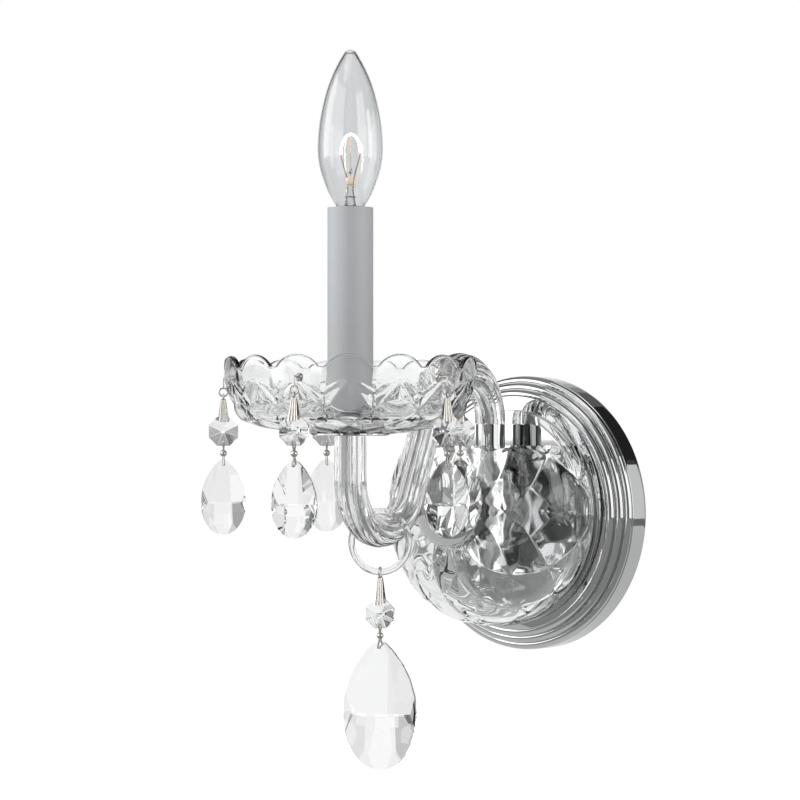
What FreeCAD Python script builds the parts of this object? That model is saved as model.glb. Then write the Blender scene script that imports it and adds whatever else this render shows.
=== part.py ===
# One-light crystal wall sconce: chrome wall plate with a pressed glass wall bowl, a ribbed glass arm,
# a scalloped drip dish with a candle, and hanging cut crystals.
# Frame: origin on the wall at the plate's centre, -Y into the room, +Z up, millimetres.
import FreeCAD, Part
import Sketcher
import os
from math import atan, cos, pi, radians, sin

Vector = FreeCAD.Vector
doc = FreeCAD.newDocument("sconce")

# ---------------------------------------------------------------- driving sizes
sizes = {
    # wall plate: a spun pan with three rounded rings, a ledge for the bowl's rim and a mirror boss
    "plate_radius": 70.5, "plate_band": 11.0, "plate_wall": 1.0, "ring_width": 3.5, "ring_rise": 3.0,
    "ring_bulge": 1.0, "ledge_width": 7.0, "boss_rise": 3.0,
    # mounting bar behind the plate, and the hollow stem that carries the lamp
    "bar_length": 106.0, "bar_width": 20.0, "bar_wall": 1.8, "slot_spacing": 79.4, "slot_length": 15.0,
    "slot_width": 4.8, "stem_radius": 4.85, "stem_bore": 3.2, "nut_flats": 15.0, "nut_height": 3.2,
    "screw_offset": 22.0, "screw_radius": 2.0, "screw_head": 4.0, "screw_head_height": 2.4,
    # hub inside the bowl
    "hub_out": 38.0, "hub_radius": 11.0, "hub_wall": 2.4, "hub_bottom": 25.0, "hub_top": 33.0,
    "hub_boss": 9.0, "hub_cap_rim": 2.0, "hub_cap_plug": 4.0, "stud_radius": 2.4,
    # wall bowl and the domed cap that holds it
    "bowl_radius": 59.3, "bowl_wall": 3.4, "bowl_depth": 46.0, "bowl_lift": 1.8, "bowl_cut": 34.7,
    "bowl_hole": 3.2, "cap_radius": 18.7, "cap_band": 4.0, "cap_dome": 14.5, "cap_wall": 1.0,
    "cap_socket": 4.2, "cap_socket_length": 8.0,
    # ribbed glass arm
    "arm_radius": 7.8, "arm_rib": 0.6, "arm_ribs": 14, "arm_bore": 3.6, "bore_over": 0.5, "arch_radius": 27.2,
    "arch_top": 73.5, "leg_lean": 24.4, "leg_length": 54.9, "bend_radius": 24.6, "arm_turn": 6.0,
    "stub_radius": 6.6, "ferrule_radius": 7.5, "ferrule_top": 45.6, "ferrule_flange": 12.0,
    "flange_wall": 1.7,
    # pan and drip dish
    "pan_level": 39.3, "pan_radius": 19.0, "pan_wall": 1.0, "cup_wall": 0.8, "cup_height": 4.5,
    "dish_radius": 60.2, "dish_wall": 3.2, "dish_floor": 4.0, "dish_rise": 36.7, "scallops": 15,
    "scallop_height": 5.7, "scallop_chord": 20.0, "hook_holes": 5, "hole_radius": 0.9,
    "hole_drop": 10.3, "dish_turn": 17.0,
    # candle, socket and bulb
    "washer_radius": 15.0, "washer_wall": 2.5, "sleeve_radius": 11.0, "sleeve_wall": 0.9,
    "sleeve_length": 101.6, "strap_width": 7.0, "strap_wall": 1.2, "strap_ear": 1.6, "strap_inset": 0.8,
    "socket_radius": 9.2, "socket_length": 29.0, "socket_sump": 10.8, "well_floor": 1.2, "lamp_seat": 21.6,
    "shell_radius": 6.55, "shell_wall": 0.5, "shell_start": 1.6, "shell_end": 0.6, "contact_radius": 4.0,
    "contact_wall": 0.5, "contact_rise": 0.4, "contact_crown": 2.2,
    "base_radius": 5.95, "base_length": 17.0, "tip_radius": 2.6, "tip_length": 1.2,
    "bulb_length": 97.0, "bulb_radius": 15.6, "bulb_wall": 0.7, "flare_radius": 3.2,
    "flare_length": 19.0, "lead_radius": 0.35, "lead_tuck": 5.0, "filament_rise": 47.0,
    "filament_width": 12.5, "filament_arch": 9.0, "coil_radius": 0.45, "wire_radius": 1.5,
    "wire_bend": 8.0, "wire_tuck": 1.0,
    # hanging crystals
    "bead_width": 14.0, "bead_thickness": 7.5, "bead_girdle": 1.6, "bead_hole": 5.3, "pin_hole": 0.7,
    "link_wire": 0.4, "eye_radius": 2.0, "clip_eye": 1.3, "clip_length": 10.0, "clip_top": 2.0,
    "clip_foot": 4.5, "clip_depth": 5.4, "clip_wall": 0.5, "ball_radius": 1.7, "ball_drop": 10.6,
    "drop_hole_drop": 16.2, "drop_width": 21.5, "drop_length": 36.4, "drop_thickness": 9.0,
    "drop_girdle": 1.8, "drop_hole": 2.9, "string_out": 1.2, "hook_drop": 6.4, "hook_play": 0.6,
    "ring_radius": 14.7, "ring_wire": 1.65, "ring_turn": 22.0, "ring_eye": 2.5, "pendant_width": 36.3,
    "pendant_length": 62.6, "pendant_thickness": 13.0, "pendant_girdle": 2.2, "pendant_hole": 3.2,
    "pendant_hole_drop": 16.2, "pendant_clip": 12.4, "bead_spread": 2.7, "drop_spread": 3.0,
    "pendant_spread": 4.6,
    # clearances
    "fit": 0.05, "gap": 0.3, "loop_gap": 0.15,
}
string_facing = [25.0, 55.0, 30.0, 50.0, 50.0]
ring_facing = 26.0

sheet = doc.addObject("Spreadsheet::Sheet", "Sizes")
for row, (alias, amount) in enumerate(sizes.items(), start=1):
    sheet.set("A%d" % row, alias)
    sheet.set("B%d" % row, str(amount))
    sheet.setAlias("B%d" % row, alias)
doc.recompute()


# ---------------------------------------------------------------- bound numbers
class Dim:
    """A size with the sheet expression that gives it; sums and products keep both."""

    def __init__(self, number, text):
        self.number = float(number)
        self.text = text

    def __add__(self, other):
        other = dim(other)
        return Dim(self.number + other.number, "(%s + %s)" % (self.text, other.text))

    def __sub__(self, other):
        other = dim(other)
        return Dim(self.number - other.number, "(%s - %s)" % (self.text, other.text))

    def __mul__(self, other):
        other = dim(other)
        return Dim(self.number * other.number, "(%s * %s)" % (self.text, other.text))

    def __truediv__(self, other):
        other = dim(other)
        return Dim(self.number / other.number, "(%s / %s)" % (self.text, other.text))

    def __radd__(self, other):
        return dim(other) + self

    def __rsub__(self, other):
        return dim(other) - self

    def __rmul__(self, other):
        return dim(other) * self

    def __neg__(self):
        return Dim(-self.number, "(0 - %s)" % self.text)

    def __float__(self):
        return self.number


def dim(amount):
    if isinstance(amount, Dim):
        return amount
    return Dim(amount, "(%.9g)" % amount)


class Named:
    """Every size of the sheet under its alias."""


size = Named()
for alias in sizes:
    setattr(size, alias, Dim(getattr(sheet, alias), "Sizes.%s" % alias))


def bind(thing, path, amount):
    """Tie a property, or a sketch constraint, to the sheet."""
    amount = dim(amount)
    if "Sizes." in amount.text:
        thing.setExpression(path, amount.text)


def place(thing, x=0.0, y=0.0, z=0.0, turn=0.0, axis=(0, 0, 1)):
    """Put a piece at bound coordinates, turned about an axis through its own origin."""
    spot = Vector(float(x), float(y), float(z))
    thing.Placement = FreeCAD.Placement(spot, FreeCAD.Rotation(Vector(*axis), float(turn)))
    for letter, amount in zip("xyz", (x, y, z)):
        bind(thing, "Placement.Base.%s" % letter, amount)
    return thing


pieces = []


def piece(thing, name):
    thing.Label = name
    pieces.append(thing)
    return thing


# ---------------------------------------------------------------- sketches and solids
def plane_of(body, role):
    for feature in body.Origin.OriginFeatures:
        if feature.Role == role:
            return feature
    raise ValueError(role)


def hold(sketch, demands):
    """Add all the constraints of a sketch in one go and tie their values to the sheet."""
    first = len(sketch.Constraints)
    sketch.addConstraint([Sketcher.Constraint(*words, amount.number) for words, amount in demands])
    for number, (words, amount) in enumerate(demands):
        bind(sketch, "Constraints[%d]" % (first + number), amount)


def pin_point(edge, end, x, y):
    """Hold one end of a sketch edge at bound distances from the sketch's origin."""
    return [(("DistanceX", -1, 1, edge, end), dim(x)), (("DistanceY", -1, 1, edge, end), dim(y))]


def arc_radius(start, end, bulge):
    """Radius of the arc that rises by bulge over the chord from start to end."""
    across = dim(end[0]) - dim(start[0])
    along = dim(end[1]) - dim(start[1])
    rise = dim(abs(float(bulge)))
    return ((across * across + along * along) / 4 + rise * rise) / (2 * rise)


def draw_loop(sketch, points):
    """A closed outline; a third value in a point is the bulge of the arc that leads to it."""
    demands = []
    for number in range(len(points)):
        start = points[number - 1]
        end = points[number]
        first = Vector(float(start[0]), float(start[1]), 0)
        last = Vector(float(end[0]), float(end[1]), 0)
        if len(end) == 2:
            edge = sketch.addGeometry(Part.LineSegment(first, last), False)
            ends = (1, 2)
        else:
            side = Vector(first.y - last.y, last.x - first.x, 0).normalize()
            bulge = float(end[2])
            middle = (first + last) * 0.5 + side * bulge
            arc = Part.Arc(last, middle, first) if bulge > 0 else Part.Arc(first, middle, last)
            edge = sketch.addGeometry(arc, False)
            ends = (2, 1) if bulge > 0 else (1, 2)
            demands.append((("Radius", edge), arc_radius(start, end, end[2])))
        demands += pin_point(edge, ends[0], start[0], start[1])
        demands += pin_point(edge, ends[1], end[0], end[1])
    hold(sketch, demands)


def draw_circle(sketch, x, y, radius):
    centre = Vector(float(x), float(y), 0)
    edge = sketch.addGeometry(Part.Circle(centre, Vector(0, 0, 1), float(radius)), False)
    hold(sketch, pin_point(edge, 3, x, y) + [(("Radius", edge), dim(radius))])


def new_body(name):
    return doc.addObject("PartDesign::Body", name)


def new_sketch(body, role):
    sketch = body.newObject("Sketcher::SketchObject", body.Name + "_outline")
    sketch.AttachmentSupport = [(plane_of(body, role), "")]
    sketch.MapMode = "FlatFace"
    return sketch


def turned(name, points, about="Z"):
    """A body turned about its own Z or Y axis from an outline of (radius, height) points."""
    body = new_body(name)
    sketch = new_sketch(body, "XZ_Plane" if about == "Z" else "XY_Plane")
    draw_loop(sketch, points)
    feature = body.newObject("PartDesign::Revolution", name + "_turned")
    feature.Profile = sketch
    feature.ReferenceAxis = (sketch, ["V_Axis"])
    feature.Angle = 360.0
    sketch.Visibility = False
    return body


def padded(name, role, loops, circles, length):
    """A body padded from outlines and round holes."""
    body = new_body(name)
    sketch = new_sketch(body, role)
    for points in loops:
        draw_loop(sketch, points)
    for circle in circles:
        draw_circle(sketch, *circle)
    feature = body.newObject("PartDesign::Pad", name + "_pad")
    feature.Profile = sketch
    feature.Length = float(length)
    bind(feature, "Length", length)
    return body


def rod(name, radius, length, direction=(0, 0, 1)):
    """A cylinder from its own origin along a direction."""
    cylinder = doc.addObject("Part::Cylinder", name)
    bind(cylinder, "Radius", radius)
    bind(cylinder, "Height", length)
    rotation = FreeCAD.Rotation(Vector(0, 0, 1), Vector(*direction))
    cylinder.Placement = FreeCAD.Placement(Vector(0, 0, 0), rotation)
    return cylinder


def shift(thing, x=0.0, y=0.0, z=0.0):
    """Move a piece to bound coordinates without changing how it is turned."""
    thing.Placement = FreeCAD.Placement(Vector(float(x), float(y), float(z)), thing.Placement.Rotation)
    for letter, amount in zip("xyz", (x, y, z)):
        bind(thing, "Placement.Base.%s" % letter, amount)
    return thing


def cut(name, base, tools):
    result = doc.addObject("Part::Cut", name)
    result.Base = base
    if len(tools) == 1:
        result.Tool = tools[0]
    else:
        result.Tool = fuse(name + "_tools", tools)
    return result


def fuse(name, parts):
    result = doc.addObject("Part::MultiFuse", name)
    result.Shapes = parts
    return result


def common(name, base, tool):
    result = doc.addObject("Part::Common", name)
    result.Base = base
    result.Tool = tool
    return result


def shaped(name, solid, x=0.0, y=0.0, z=0.0, turn=0.0):
    """A piece whose solid is worked out point by point, placed after its shape is set."""
    feature = doc.addObject("Part::Feature", name)
    feature.Shape = solid
    return place(feature, x, y, z, turn)


def hexagon(flats):
    """Corners of a hexagon of a width across its flats."""
    corner = flats / 2 / cos(radians(30))
    return [(corner * cos(radians(60 * k)), corner * sin(radians(60 * k))) for k in range(6)]


# ---------------------------------------------------------------- shared levels
ledge_radius = size.plate_radius - 3 * size.ring_width
boss_radius = ledge_radius - size.ledge_width
ledge_out = size.plate_band + 3 * size.ring_rise
boss_out = ledge_out + size.boss_rise
bowl_front = ledge_out + size.bowl_depth
lean = radians(float(size.leg_lean))
arch_level = size.arch_top - size.arch_radius
bend_level = arch_level + (size.arch_radius + size.bend_radius) * sin(lean) - size.leg_length * cos(lean)
arm_length = (size.arch_radius + size.bend_radius) * (1 + cos(lean)) + size.leg_length * sin(lean)
turn = radians(float(size.arm_turn))
axis_x = arm_length * sin(turn)
axis_y = -(size.hub_out + arm_length * cos(turn))
bend_x = (arm_length - size.bend_radius) * sin(turn)
bend_y = -(size.hub_out + (arm_length - size.bend_radius) * cos(turn))
bend_bottom = bend_level - size.bend_radius
cup_radius = size.arm_radius + size.cup_wall + size.fit
pan_top = size.pan_level + size.pan_wall
cup_top = size.pan_level + size.cup_height
floor_top = pan_top + size.dish_floor
dish_top = pan_top + size.dish_rise
washer_top = floor_top + size.washer_wall
sleeve_top = washer_top + size.sleeve_length
nut_top = washer_top + size.nut_height
bulb_foot = sleeve_top - size.lamp_seat
socket_bottom = bulb_foot - size.socket_sump
strap_length = socket_bottom - nut_top
hole_level = dish_top - size.hole_drop
string_radius = size.dish_radius + size.string_out
eye_level = hole_level - size.hook_drop
pivot_level = eye_level - size.eye_radius


# ---------------------------------------------------------------- wall side
def make_wall_plate():
    """Spun pan: rim band, three rounded rings, ledge and mirror boss, open behind."""
    wall = size.plate_wall
    outer = [(size.plate_radius, dim(0)), (size.plate_radius, -size.plate_band)]
    for number in range(1, 4):
        radius = size.plate_radius - number * size.ring_width
        outer.append((radius, -(size.plate_band + number * size.ring_rise), size.ring_bulge))
    outer.append((boss_radius, -ledge_out))
    outer.append((boss_radius, -boss_out))
    outer.append((size.stem_radius + size.fit, -boss_out))
    inner = [(point[0] - wall, point[1] + wall) + tuple(-bulge for bulge in point[2:])
             for point in outer[:-1]]
    inner[0] = (size.plate_radius - wall, dim(0))
    back = [(outer[-1][0], -boss_out + wall)]
    bulges = [point[2] if len(point) > 2 else None for point in inner]
    for number in range(len(inner) - 1, -1, -1):
        follower = bulges[number + 1] if number + 1 < len(inner) else None
        point = inner[number][:2]
        back.append(point if follower is None else point + (follower,))
    return piece(turned("wall_plate", outer + back, "Y"), "wall_plate")


def slot_outline(centre, length, width):
    """A slot with round ends, along X."""
    half = (length - width) / 2
    rise = width / 2
    left = centre - half
    right = centre + half
    return [(left, -rise), (right, -rise), (right, rise, -rise * 0.999), (left, rise),
            (left, -rise, -rise * 0.999)]


def make_crossbar():
    """Steel bar with a tapped centre hole, an earth screw hole and two slots for the box screws."""
    half = size.bar_length / 2
    side = size.bar_width / 2
    outline = [(-half, -side), (half, -side), (half, side), (-half, side)]
    slots = []
    for sign in (-1, 1):
        centre = sign * size.slot_spacing / 2
        end = (size.slot_length - size.slot_width) / 2
        slots.append((centre, end))
    holes = [(dim(0), dim(0), size.stem_radius + size.fit),
             (-size.screw_offset, dim(0), size.screw_radius + size.fit)]
    bar = padded("crossbar_blank", "XZ_Plane", [outline], holes, size.bar_wall)
    tools = []
    for number, (centre, end) in enumerate(slots):
        for sign in (-1, 1):
            drill = rod("crossbar_slot_%d%s" % (number, "ab"[sign > 0]), size.slot_width / 2,
                        4 * size.bar_wall, (0, -1, 0))
            tools.append(shift(drill, centre + sign * end, 2 * size.bar_wall, dim(0)))
        web = doc.addObject("Part::Box", "crossbar_web_%d" % number)
        bind(web, "Length", 2 * end)
        bind(web, "Width", 4 * size.bar_wall)
        bind(web, "Height", size.slot_width)
        tools.append(shift(web, centre - end, -2 * size.bar_wall, -size.slot_width / 2))
    return piece(cut("crossbar", bar, tools), "crossbar")


def make_ground_screw():
    """Earth screw with a washer head, in the bar."""
    head = size.bar_wall + size.screw_head_height
    outline = [(dim(0), dim(0)), (size.screw_radius, dim(0)), (size.screw_radius, -size.bar_wall),
               (size.screw_head, -size.bar_wall), (size.screw_head, -head), (dim(0), -head)]
    screw = turned("ground_screw", outline, "Y")
    return piece(place(screw, x=-size.screw_offset), "ground_screw")


def nut_blank(name, role):
    """Hexagon lock nut for the hollow stem's thread."""
    hole = [(dim(0), dim(0), size.stem_radius + size.fit)]
    return padded(name, role, [hexagon(size.nut_flats)], hole, size.nut_height)


def make_stem_nuts():
    """Two alike: one locks the stem in the bar, one draws the plate against the hub."""
    bar_nut = place(nut_blank("bar_nut", "XZ_Plane"), y=-size.bar_wall)
    plate_nut = place(nut_blank("plate_nut", "XZ_Plane"), y=size.plate_wall + size.nut_height - boss_out)
    pair = doc.addObject("Part::Compound", "stem_nuts")
    pair.Links = [bar_nut, plate_nut]
    return piece(pair, "stem_nuts")


def make_dish_nut():
    """The nut that clamps the dish."""
    return piece(place(nut_blank("dish_nut", "XY_Plane"), x=axis_x, y=axis_y, z=washer_top), "dish_nut")


def make_tube(name, radius, bore, length, direction, x=0.0, y=0.0, z=0.0):
    outer = shift(rod(name + "_outer", radius, length, direction), x, y, z)
    inner = shift(rod(name + "_bore", bore, length, direction), x, y, z)
    return piece(cut(name, outer, [inner]), name)


def make_hub():
    """Hollow upright hub with a boss that bears on the plate and a tapped hole for the cap stud."""
    bore = size.hub_radius - size.hub_wall
    outline = [(size.stem_radius + size.fit, size.hub_top), (size.hub_radius, size.hub_top),
               (size.hub_radius, -size.hub_bottom), (bore, -size.hub_bottom),
               (bore, size.hub_top - size.hub_wall),
               (size.stem_radius + size.fit, size.hub_top - size.hub_wall)]
    shell = turned("hub_shell", outline)
    place(shell, y=-size.hub_out)
    boss = shift(rod("hub_boss_rod", size.hub_boss, size.hub_out - boss_out, (0, -1, 0)), 0, -boss_out, 0)
    hollow = shift(rod("hub_hollow", bore, size.hub_top - size.hub_wall + size.hub_bottom), 0,
                   -size.hub_out, -size.hub_bottom)
    stem = shift(rod("hub_stem_hole", size.stem_radius + size.fit, size.hub_out, (0, -1, 0)), 0, 0, 0)
    stud = shift(rod("hub_stud_hole", size.stud_radius + size.fit, size.hub_out, (0, -1, 0)), 0,
                 -size.hub_out, size.bowl_lift)
    whole = fuse("hub_with_boss", [shell, boss])
    return piece(cut("arm_hub", whole, [hollow, stem, stud]), "arm_hub")


def make_hub_cap():
    """Plug under the hub, with a turned rim and a small button."""
    bore = size.hub_radius - size.hub_wall - size.fit
    rim = size.hub_cap_rim
    outline = [(dim(0), size.hub_cap_plug), (bore, size.hub_cap_plug), (bore, dim(0)),
               (size.hub_radius, dim(0)), (size.hub_radius, -rim * 0.6),
               (size.hub_radius - rim * 0.4, -rim, -0.2), (dim(0), -rim)]
    cap = turned("hub_cap", outline)
    return piece(place(cap, y=-size.hub_out, z=-size.hub_bottom), "hub_cap")


def make_bowl():
    """Pressed glass wall bowl on its side, cut off level above the lamp arm's foot."""
    radius = size.bowl_radius
    wall = size.bowl_wall
    depth = size.bowl_depth
    shoulder = depth * 0.905
    belly = radius * 0.987
    front = size.cap_radius + 1.0
    shell = [(belly, dim(0)), (belly, -depth * 0.40, 0.8), (radius * 0.77, -shoulder, 4.6),
             (front, -depth, 1.2), (size.bowl_hole, -depth), (size.bowl_hole, -depth + wall),
             (front, -depth + wall), (radius * 0.77 - wall * 0.5, -shoulder + wall * 0.9, -1.2),
             (belly - wall, -depth * 0.40, -3.8), (belly - wall, dim(0), -0.8)]
    blank = turned("bowl_blank", shell, "Y")
    place(blank, y=-ledge_out, z=size.bowl_lift)
    block = doc.addObject("Part::Box", "bowl_top_cut")
    bind(block, "Length", 4 * radius)
    bind(block, "Width", 2 * depth)
    bind(block, "Height", radius)
    shift(block, -2 * radius, -ledge_out - 1.5 * depth, size.bowl_cut)
    return piece(cut("wall_bowl", blank, [block]), "wall_bowl")


def make_bowl_cap():
    """Domed chrome cap with a blind threaded socket for the stud."""
    radius = size.cap_radius
    wall = size.cap_wall
    rise = size.cap_band + size.cap_dome
    crown = size.cap_dome * 0.293
    socket = size.cap_socket
    foot = rise - size.cap_socket_length
    top = -rise + wall * 1.6
    outline = [(size.stud_radius + size.fit, -foot), (socket, -foot), (socket, top),
               (radius * 0.707 - wall, -rise + crown + wall, -0.4),
               (radius - wall, -size.cap_band, -1.4), (radius - wall, dim(0)),
               (radius, dim(0)), (radius, -size.cap_band), (radius * 0.707, -rise + crown, 1.46),
               (dim(0), -rise, 1.14), (dim(0), top), (size.stud_radius + size.fit, top)]
    cap = turned("bowl_cap", outline, "Y")
    return piece(place(cap, y=-bowl_front, z=size.bowl_lift), "bowl_cap")


def make_stud():
    """Threaded stud from the hub through the bowl to the cap."""
    start = size.hub_out + size.hub_radius - size.hub_wall
    end = bowl_front + size.cap_band + size.cap_dome - 2.2 * size.cap_wall
    stud = shift(rod("cap_stud", size.stud_radius, end - start, (0, -1, 0)), 0, -start, size.bowl_lift)
    return piece(stud, "cap_stud")


def make_ferrule():
    """Chrome foot cup for the glass arm, with its flange on the hub."""
    inner = size.stub_radius + size.fit
    floor = size.hub_top + size.flange_wall
    outline = [(size.stem_radius + size.fit, size.hub_top), (size.ferrule_flange, size.hub_top),
               (size.ferrule_flange, floor), (size.ferrule_radius, floor),
               (size.ferrule_radius, size.ferrule_top), (inner, size.ferrule_top),
               (inner, floor + size.flange_wall), (size.stem_radius + size.fit, floor + size.flange_wall)]
    ferrule = turned("foot_ferrule", outline)
    return piece(place(ferrule, y=-size.hub_out), "foot_ferrule")


# ---------------------------------------------------------------- arm
def arm_path(sketch, start, finish):
    """The arm's centre line in its own upright plane: up, over the arch, down the leg and round."""
    arch = float(size.arch_radius)
    bend = float(size.bend_radius)
    corners = [(0.0, 0.0), (0.0, float(arch_level - start))]
    centre = Vector(-arch, float(arch_level - start), 0)
    over = centre + Vector(-arch * cos(lean), arch * sin(lean), 0)
    top = centre + Vector(0, arch, 0)
    low = over + Vector(-sin(lean), -cos(lean), 0) * float(size.leg_length)
    round_centre = Vector(-float(arm_length) + bend, float(bend_level - start), 0)
    bottom = round_centre + Vector(0, -bend, 0)
    side = round_centre + Vector(-bend, 0, 0)
    edges = [Part.LineSegment(Vector(*corners[0], 0), Vector(*corners[1], 0)),
             Part.Arc(Vector(*corners[1], 0), top, over), Part.LineSegment(over, low),
             Part.Arc(low, bottom, side),
             Part.LineSegment(side, Vector(side.x, float(finish - start), 0))]
    for edge in edges:
        sketch.addGeometry(edge, False)
    for number in range(len(edges)):
        sketch.addConstraint(Sketcher.Constraint("Block", number))


def swept(name, ring, start, finish):
    """A body swept along the arm's centre line from a section drawn at its foot."""
    body = new_body(name)
    route = body.newObject("Sketcher::SketchObject", name + "_route")
    route.AttachmentSupport = [(plane_of(body, "YZ_Plane"), "")]
    route.MapMode = "FlatFace"
    arm_path(route, start, finish)
    section = new_sketch(body, "XY_Plane")
    ring(section)
    doc.recompute()
    pipe = body.newObject("PartDesign::AdditivePipe", name + "_swept")
    pipe.Profile = section
    pipe.Spine = route
    return place(body, y=-size.hub_out, z=start, turn=size.arm_turn)


def make_arm():
    """Hollow ribbed glass arm with a ground stub in the ferrule."""
    start = size.ferrule_top + size.gap
    finish = cup_top - 1.6 * size.cup_wall - size.gap

    def ribbed(section):
        count = int(float(size.arm_ribs))
        valley = size.arm_radius - size.arm_rib
        ring = []
        for number in range(count):
            angle = 2 * pi * number / count
            chord_rise = float(size.arm_rib) + float(valley) * (1 - cos(pi / count))
            ring.append((valley * cos(angle), valley * sin(angle), -chord_rise))
        draw_loop(section, ring)

    blank = swept("arm_blank", ribbed, start, finish)
    foot = size.hub_top + 2 * size.flange_wall + size.gap
    stub = shift(rod("arm_stub", size.stub_radius, start - foot + size.gap), 0, -size.hub_out, foot)

    def round_bore(section):
        draw_circle(section, dim(0), dim(0), size.arm_bore)

    over = size.bore_over
    bore = swept("arm_bore", round_bore, start - over, finish + over)
    foot_bore = shift(rod("arm_foot_bore", size.arm_bore, start - foot + 2 * over), 0, -size.hub_out,
                      foot - over)
    top_bore = shift(rod("arm_top_bore", size.arm_bore, 4 * over), axis_x, axis_y, finish - 2 * over)
    whole = fuse("arm_with_stub", [blank, stub])
    return piece(cut("glass_arm", whole, [bore, foot_bore, top_bore]), "glass_arm")


def make_wire():
    """Lamp lead along the stem, up the hub, through the arm and up to the socket."""
    turn = size.wire_bend
    inlet = shift(rod("wire_inlet", size.wire_radius, size.hub_out - turn, (0, -1, 0)), 0, 0, 0)
    elbow = doc.addObject("Part::Torus", "wire_elbow")
    bind(elbow, "Radius1", turn)
    bind(elbow, "Radius2", size.wire_radius)
    elbow.Angle3 = 90.0
    matrix = FreeCAD.Matrix(0, 0, 1, 0, -1, 0, 0, 0, 0, -1, 0, 0, 0, 0, 0, 1)
    elbow.Placement = FreeCAD.Placement(matrix)
    shift(elbow, 0, -size.hub_out + turn, turn)
    start = size.ferrule_top - size.wire_tuck
    riser = shift(rod("wire_riser", size.wire_radius, start - turn), 0, -size.hub_out, turn)

    def lead(section):
        draw_circle(section, dim(0), dim(0), size.wire_radius)

    run = swept("wire_run", lead, start, socket_bottom - size.gap)
    return piece(fuse("lamp_wire", [inlet, elbow, riser, run]), "lamp_wire")


# ---------------------------------------------------------------- pan, dish and candle
def make_pan():
    """Chrome pan under the dish, with the cup that holds the arm's upper end."""
    bore = size.arm_radius + size.fit
    lid = cup_top - 1.6 * size.cup_wall
    outline = [(bore, size.pan_level), (size.pan_radius * 0.9, size.pan_level),
               (size.pan_radius, size.pan_level + 0.5 * size.pan_wall, 0.1), (size.pan_radius, pan_top),
               (cup_radius, pan_top), (cup_radius, cup_top), (size.stem_radius + size.fit, cup_top),
               (size.stem_radius + size.fit, lid), (bore, lid)]
    return piece(place(turned("dish_pan", outline), x=axis_x, y=axis_y), "dish_pan")


def make_dish():
    """Scalloped glass drip dish with five hook holes under alternate scallop tops."""
    radius = size.dish_radius
    wall = size.dish_wall
    rise = size.dish_rise
    shell = [(cup_radius + size.gap, pan_top), (radius * 0.33, pan_top),
             (radius * 0.60, pan_top + rise * 0.055, -0.3),
             (radius * 0.80, pan_top + rise * 0.14, -0.5), (radius * 0.93, pan_top + rise * 0.38, -2.2),
             (radius, dish_top, -1.3), (radius - wall * 0.85, dish_top),
             (radius * 0.93 - wall, pan_top + rise * 0.38 + wall * 0.3, 1.3),
             (radius * 0.80 - wall * 0.6, pan_top + rise * 0.14 + wall * 0.9, 1.8),
             (radius * 0.45, floor_top, 1.0), (cup_radius + size.gap, floor_top)]
    blank = place(turned("dish_blank", shell), x=axis_x, y=axis_y)
    valley = dish_top - size.scallop_height
    half = size.scallop_chord / 2
    curve = (half * half + size.scallop_height * size.scallop_height) / (2 * size.scallop_height)
    count = int(float(size.scallops))
    crown = [shift(rod("crown_disc", 1.2 * radius, valley), axis_x, axis_y, 0)]
    for number in range(count):
        angle = radians(float(size.dish_turn) + 360.0 * number / count)
        lobe = rod("crown_lobe_%02d" % number, curve, 0.25 * radius, (sin(angle), -cos(angle), 0))
        inside = 0.85 * radius
        crown.append(shift(lobe, axis_x + inside * sin(angle), axis_y - inside * cos(angle),
                           dish_top - curve))
    scalloped = common("dish_scalloped", blank, fuse("dish_crown", crown))
    holes = []
    total = int(float(size.hook_holes))
    for number in range(total):
        angle = radians(float(size.dish_turn) + 360.0 * number / total)
        drill = rod("dish_hole_%d" % number, size.hole_radius, 0.3 * radius, (sin(angle), -cos(angle), 0))
        inside = 0.85 * radius
        holes.append(shift(drill, axis_x + inside * sin(angle), axis_y - inside * cos(angle), hole_level))
    return piece(cut("glass_dish", scalloped, holes), "glass_dish")


def make_washer():
    """Cast check ring that clamps the dish and seats the candle sleeve."""
    outer = size.washer_radius
    outline = [(size.stem_radius + size.fit, floor_top), (outer, floor_top), (outer, floor_top + 1.2),
               (outer - 1.3, washer_top, 0.3), (size.stem_radius + size.fit, washer_top)]
    return piece(place(turned("dish_washer", outline), x=axis_x, y=axis_y), "dish_washer")


def make_strap():
    """Bent steel strap from the stem to the lamp socket."""
    wall = size.strap_wall
    width = size.strap_width
    room = size.sleeve_radius - size.sleeve_wall - size.gap
    inner = room - wall - size.strap_inset
    ear = size.stem_radius + size.strap_ear
    tab = doc.addObject("Part::Box", "strap_tab")
    bind(tab, "Length", inner + wall + ear)
    bind(tab, "Width", 2 * ear)
    bind(tab, "Height", wall)
    shift(tab, axis_x - ear, axis_y - ear, nut_top)
    leg = doc.addObject("Part::Box", "strap_leg")
    bind(leg, "Length", wall)
    bind(leg, "Width", width)
    bind(leg, "Height", strap_length)
    shift(leg, axis_x + inner, axis_y - width / 2, nut_top)
    head = doc.addObject("Part::Box", "strap_head")
    bind(head, "Length", inner + wall + width / 2)
    bind(head, "Width", width)
    bind(head, "Height", wall)
    shift(head, axis_x - width / 2, axis_y - width / 2, nut_top + strap_length - wall)
    stem = shift(rod("strap_stem_hole", size.stem_radius + size.fit, 6 * wall), axis_x, axis_y,
                 nut_top - 2 * wall)
    lead = shift(rod("strap_lead_hole", size.wire_radius + 0.5, 6 * wall), axis_x, axis_y,
                 nut_top + strap_length - 3 * wall)
    whole = fuse("strap_bent", [tab, leg, head])
    space = shift(rod("strap_space", room, strap_length), axis_x, axis_y, nut_top)
    rounded = common("strap_rounded", whole, space)
    return piece(cut("socket_strap", rounded, [stem, lead]), "socket_strap")


bulb_top = bulb_foot + size.bulb_length
base_foot = bulb_foot + size.tip_length
base_top = base_foot + size.base_length


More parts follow.
